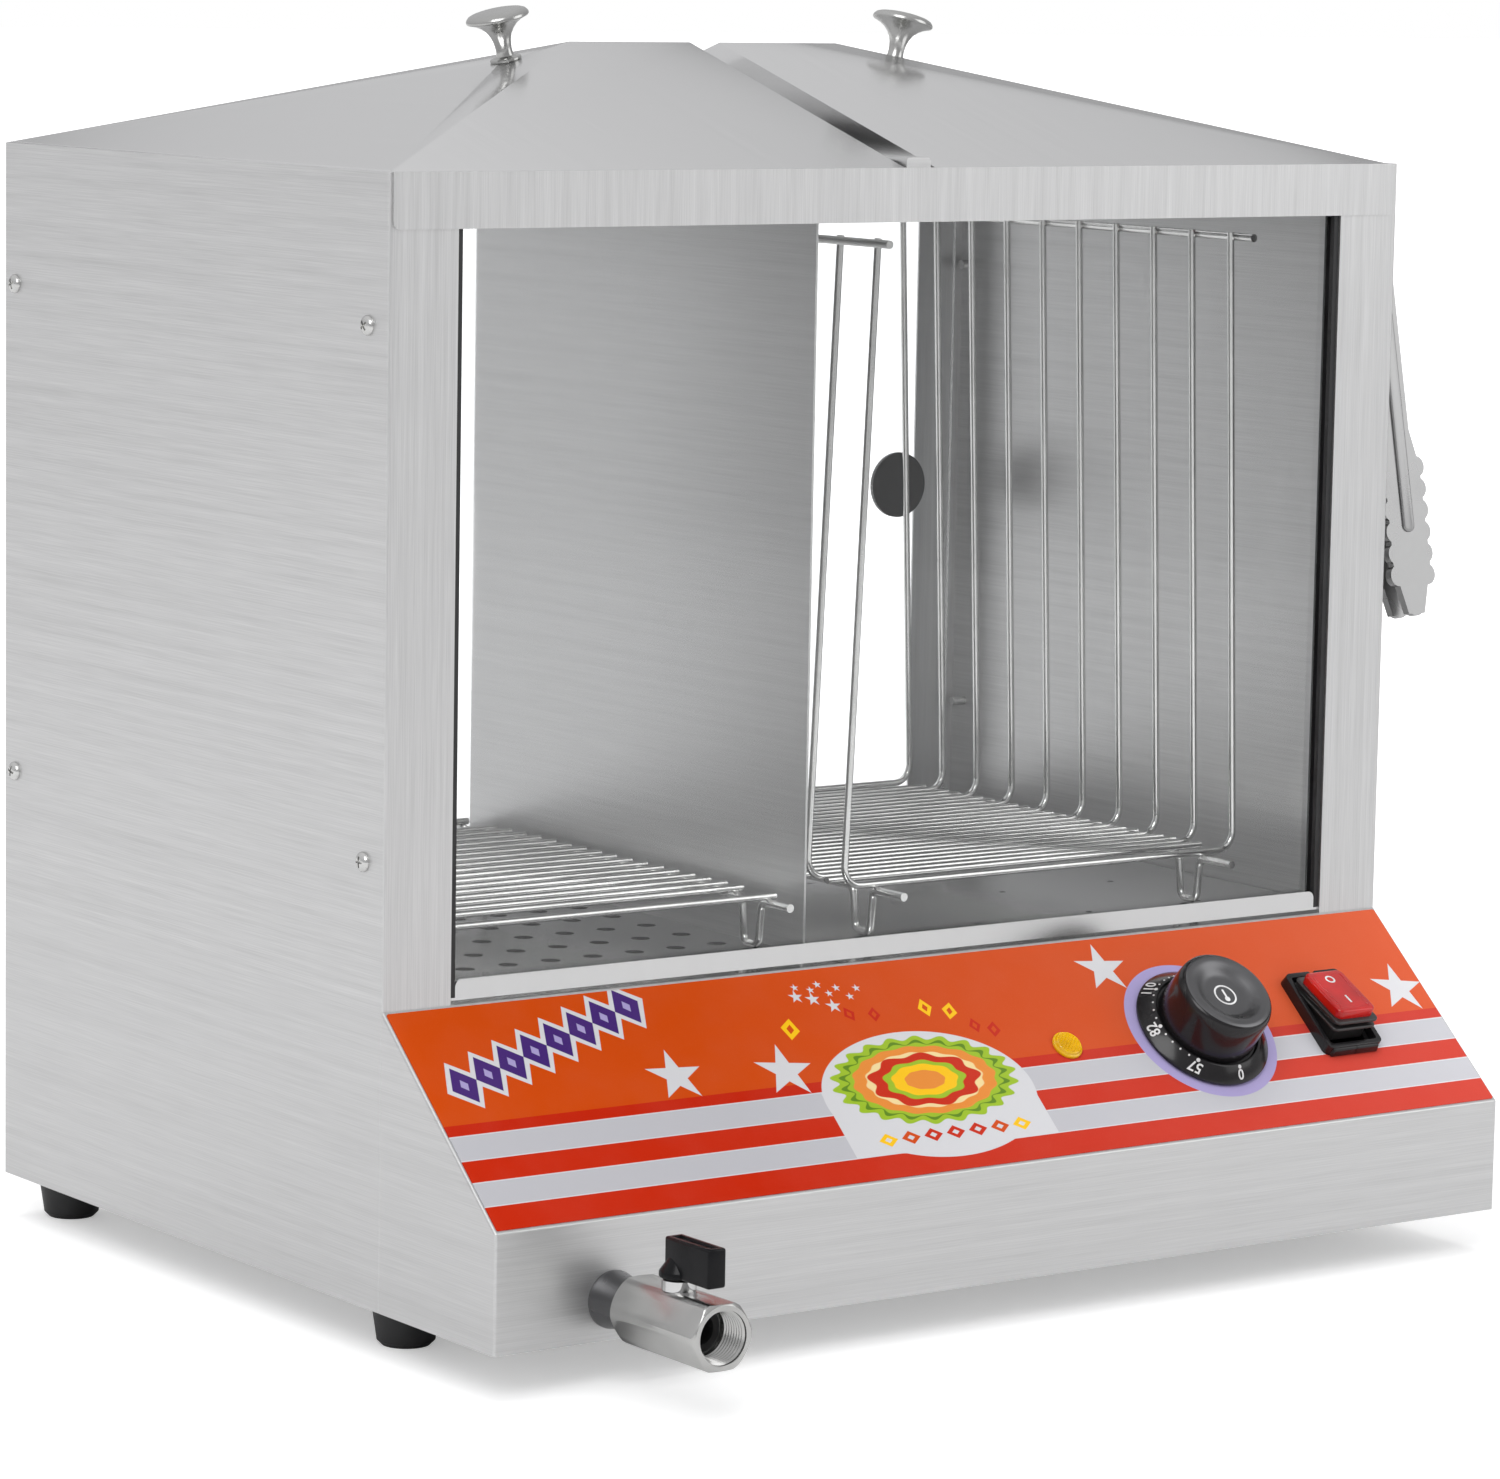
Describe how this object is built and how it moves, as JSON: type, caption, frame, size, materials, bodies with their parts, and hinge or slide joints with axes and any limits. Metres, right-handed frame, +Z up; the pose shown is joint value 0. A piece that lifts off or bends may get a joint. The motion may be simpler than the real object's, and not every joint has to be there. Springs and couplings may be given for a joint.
{
  "type": "hot dog steamer",
  "caption": "Countertop stainless hot dog steamer with a window, two lift-off roof lids, wire racks for sausages and buns, sloped control panel, drain valve and hanging tongs.",
  "frame": {"origin": "on the counter under the middle of the whole footprint, which takes in the drain valve in front, the cord gland behind and the tongs at the right", "axes": "+X to the right as seen from the front, +Y to the back, +Z up; the drain outlet faces -Y and the feet -Z"},
  "size_m": [0.5324, 0.4735, 0.5135],
  "materials": {
    "cabinet_steel": "satin, brushed along its length",
    "lid_steel": "bright brushed",
    "tank_steel": "satin",
    "wire_steel": "bright drawn wire",
    "label_film": "printed orange, red and white",
    "glass": "clear",
    "clear_plastic": "clear acrylic",
    "black_rubber": "matt",
    "black_plastic": "moulded",
    "track_plastic": "extruded",
    "nickel": "nickel plated brass",
    "valve_black": "dark coated",
    "ptfe": "white",
    "pull_black": "moulded",
    "red_plastic": "clear red",
    "amber_plastic": "clear amber, prismatic",
    "fasteners": "zinc plated",
    "copper": "bare copper"
  },
  "bodies": {
    "cabinet": {"base_housing": "cabinet_steel", "control_housing": "cabinet_steel", "control_label": "label_film", "bottom_plate": "cabinet_steel", "feet": "black_rubber", "bottom_screws": "fasteners", "water_tank": "tank_steel", "plate_bar": "tank_steel", "heater": "tank_steel", "heater_nuts": "nickel", "drain_pipe": "tank_steel", "drain_nipple": "valve_black", "valve_body": "nickel", "valve_seat": "ptfe", "valve_neck": "nickel", "cord_gland": "black_plastic", "left_side_panel": "cabinet_steel", "right_side_panel": "cabinet_steel", "front_top_rail": "cabinet_steel", "front_bottom_rail": "cabinet_steel", "front_glass": "glass", "glass_seals": "black_rubber", "rear_top_rail": "cabinet_steel", "rear_sill": "cabinet_steel", "bottom_door_track": "track_plastic", "top_door_track": "track_plastic", "roof_beam": "cabinet_steel", "steam_plate": "tank_steel", "bun_plate": "tank_steel", "partition": "cabinet_steel", "thermostat_body": "nickel", "capillary_bulb": "copper", "pilot_lamp_lens": "amber_plastic", "pilot_lamp_body": "black_plastic", "switch_housing": "black_plastic", "switch_body": "black_plastic", "tongs_hook": "wire_steel", "side_screws": "fasteners"},
    "drain_handle": {"valve_ball": "nickel", "valve_stem": "nickel", "valve_handle": "valve_black"},
    "left_lid": {"left_lid": "lid_steel", "left_lid_knob": "nickel"},
    "right_lid": {"right_lid": "lid_steel", "right_lid_knob": "nickel"},
    "left_rear_door": {"left_rear_door": "clear_plastic", "left_finger_pull": "pull_black"},
    "right_rear_door": {"right_rear_door": "clear_plastic", "right_finger_pull": "pull_black"},
    "hot_dog_rack": {"hot_dog_rack_rods": "wire_steel", "hot_dog_rack_wires": "wire_steel"},
    "bun_rack": {"bun_rack_rods": "wire_steel", "bun_rack_hoops": "wire_steel", "bun_rack_wires": "wire_steel"},
    "thermostat_knob": {"thermostat_shaft": "nickel", "thermostat_knob": "black_plastic"},
    "switch_rocker": {"switch_boot": "black_rubber", "switch_rocker": "red_plastic"},
    "tongs": {"tongs_front_arm": "wire_steel"},
    "tongs_rear_arm": {"tongs_rear_arm": "wire_steel"}
  },
  "joints": [
    {"name": "left_lid_lift", "type": "slide", "parent": "cabinet", "child": "left_lid", "axis": [0, 0, 1], "range_m": [0, 0.15]},
    {"name": "right_lid_lift", "type": "slide", "parent": "cabinet", "child": "right_lid", "axis": [0, 0, 1], "range_m": [0, 0.15]},
    {"name": "left_rear_door_slide", "type": "slide", "parent": "cabinet", "child": "left_rear_door", "axis": [1, 0, 0], "range_m": [0, 0.22]},
    {"name": "right_rear_door_slide", "type": "slide", "parent": "cabinet", "child": "right_rear_door", "axis": [-1, 0, 0], "range_m": [0, 0.22]},
    {"name": "hot_dog_rack_lift", "type": "slide", "parent": "cabinet", "child": "hot_dog_rack", "axis": [0, 0, 1], "range_m": [0, 0.25]},
    {"name": "bun_rack_lift", "type": "slide", "parent": "cabinet", "child": "bun_rack", "axis": [0, 0, 1], "range_m": [0, 0.025]},
    {"name": "thermostat_turn", "type": "hinge", "parent": "cabinet", "child": "thermostat_knob", "pos_m": [0.107, -0.1235, 0.09975], "axis": [0, -0.6565, 0.7543], "range_deg": [0, 270]},
    {"name": "switch_rock", "type": "hinge", "parent": "cabinet", "child": "switch_rocker", "pos_m": [0.1765, -0.12547, 0.10201], "axis": [1, 0, 0], "range_deg": [0, 26]},
    {"name": "drain_valve_turn", "type": "hinge", "parent": "cabinet", "child": "drain_handle", "pos_m": [-0.211, -0.2075, 0.0462], "axis": [0, 0, 1], "range_deg": [0, 90]},
    {"name": "tongs_lift", "type": "slide", "parent": "cabinet", "child": "tongs", "axis": [0, 0.2019, 0.9794], "range_m": [0, 0.16]},
    {"name": "tongs_squeeze", "type": "hinge", "parent": "tongs", "child": "tongs_rear_arm", "pos_m": [0.2535, -0.04287, 0.40066], "axis": [-1, 0, 0], "range_deg": [0, 2.5], "stiffness_Nm_per_rad": 4, "springref_deg": -1.15}
  ]
}
